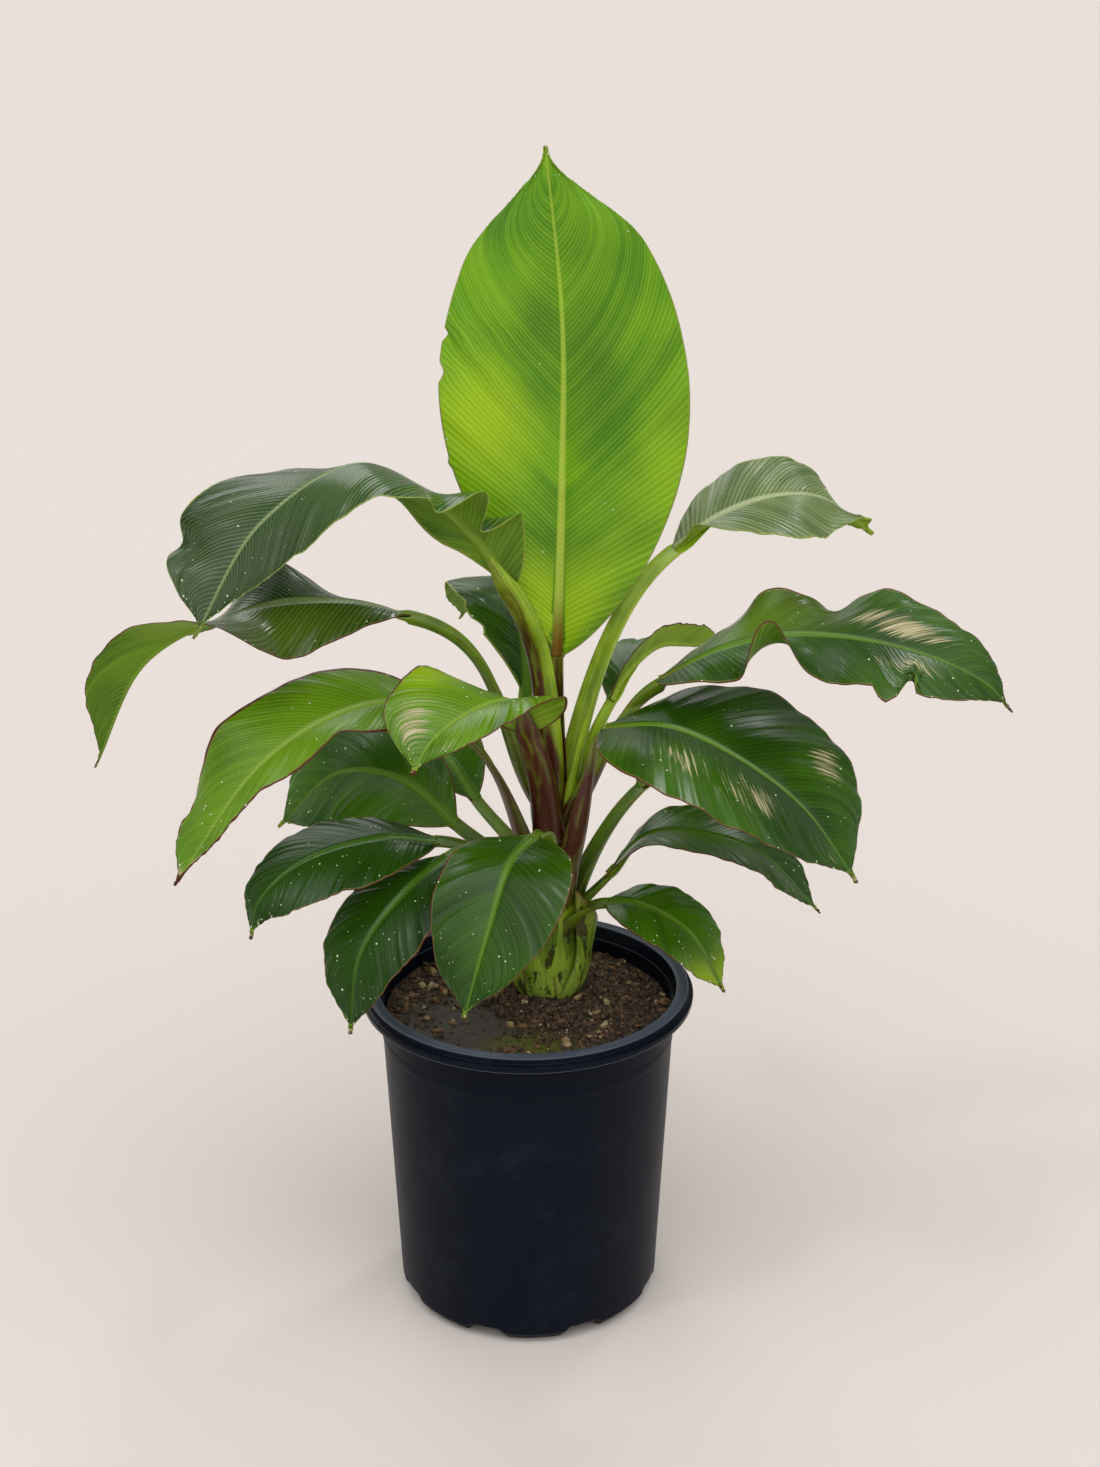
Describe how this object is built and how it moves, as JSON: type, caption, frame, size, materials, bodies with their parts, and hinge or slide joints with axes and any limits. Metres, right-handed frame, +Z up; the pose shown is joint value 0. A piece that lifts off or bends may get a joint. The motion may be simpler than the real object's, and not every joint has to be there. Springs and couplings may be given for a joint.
{
  "type": "potted banana plant",
  "caption": "Young banana plant with a leaning pseudostem and broad arching leaves, standing in a black nursery pot filled with soil.",
  "frame": {"origin": "middle of the pot's flat underside, on the floor", "axes": "+Z up along the pot's axis, -Y the plant's front as it is usually seen, +X to the front viewer's right"},
  "size_m": [0.7158, 0.4095, 0.964],
  "materials": {
    "pot": "semi-matte moulded polypropylene",
    "soil": "damp potting mix with bark and perlite",
    "pseudostem": "smooth waxy leaf sheaths",
    "petiole": "smooth waxy",
    "leaf_bright": "satin leaf",
    "leaf_fresh": "satin leaf",
    "leaf_deep": "glossy leaf"
  },
  "bodies": {
    "root": {"blade_back_left": "leaf_deep", "blade_back_right": "leaf_fresh", "blade_front_curled": "leaf_fresh", "blade_low_front": "leaf_fresh", "blade_low_front_left": "leaf_deep", "blade_low_left": "leaf_deep", "blade_low_right": "leaf_deep", "blade_low_right_small": "leaf_deep", "blade_lower_left": "leaf_bright", "blade_lower_left_outer": "leaf_bright", "blade_middle_left": "leaf_deep", "blade_middle_left_outer": "leaf_deep", "blade_middle_right": "leaf_deep", "blade_middle_right_outer": "leaf_deep", "blade_rear_left": "leaf_deep", "blade_rear_left_inner": "leaf_deep", "blade_rear_right": "leaf_deep", "blade_right_front": "leaf_deep", "blade_spear": "leaf_bright", "blade_upper_left": "leaf_deep", "blade_upper_left_outer": "leaf_deep", "blade_upper_right": "leaf_deep", "petiole_back_left": "petiole", "petiole_back_right": "petiole", "petiole_front_curled": "petiole", "petiole_low_front": "petiole", "petiole_low_front_left": "petiole", "petiole_low_left": "petiole", "petiole_low_right": "petiole", "petiole_low_right_small": "petiole", "petiole_lower_left": "petiole", "petiole_middle_left": "petiole", "petiole_middle_right": "petiole", "petiole_rear_left": "petiole", "petiole_rear_left_inner": "petiole", "petiole_rear_right": "petiole", "petiole_right_front": "petiole", "petiole_spear": "petiole", "petiole_upper_left": "petiole", "petiole_upper_right": "petiole", "pot": "pot", "pseudostem": "pseudostem", "soil": "soil"}
  },
  "joints": []
}
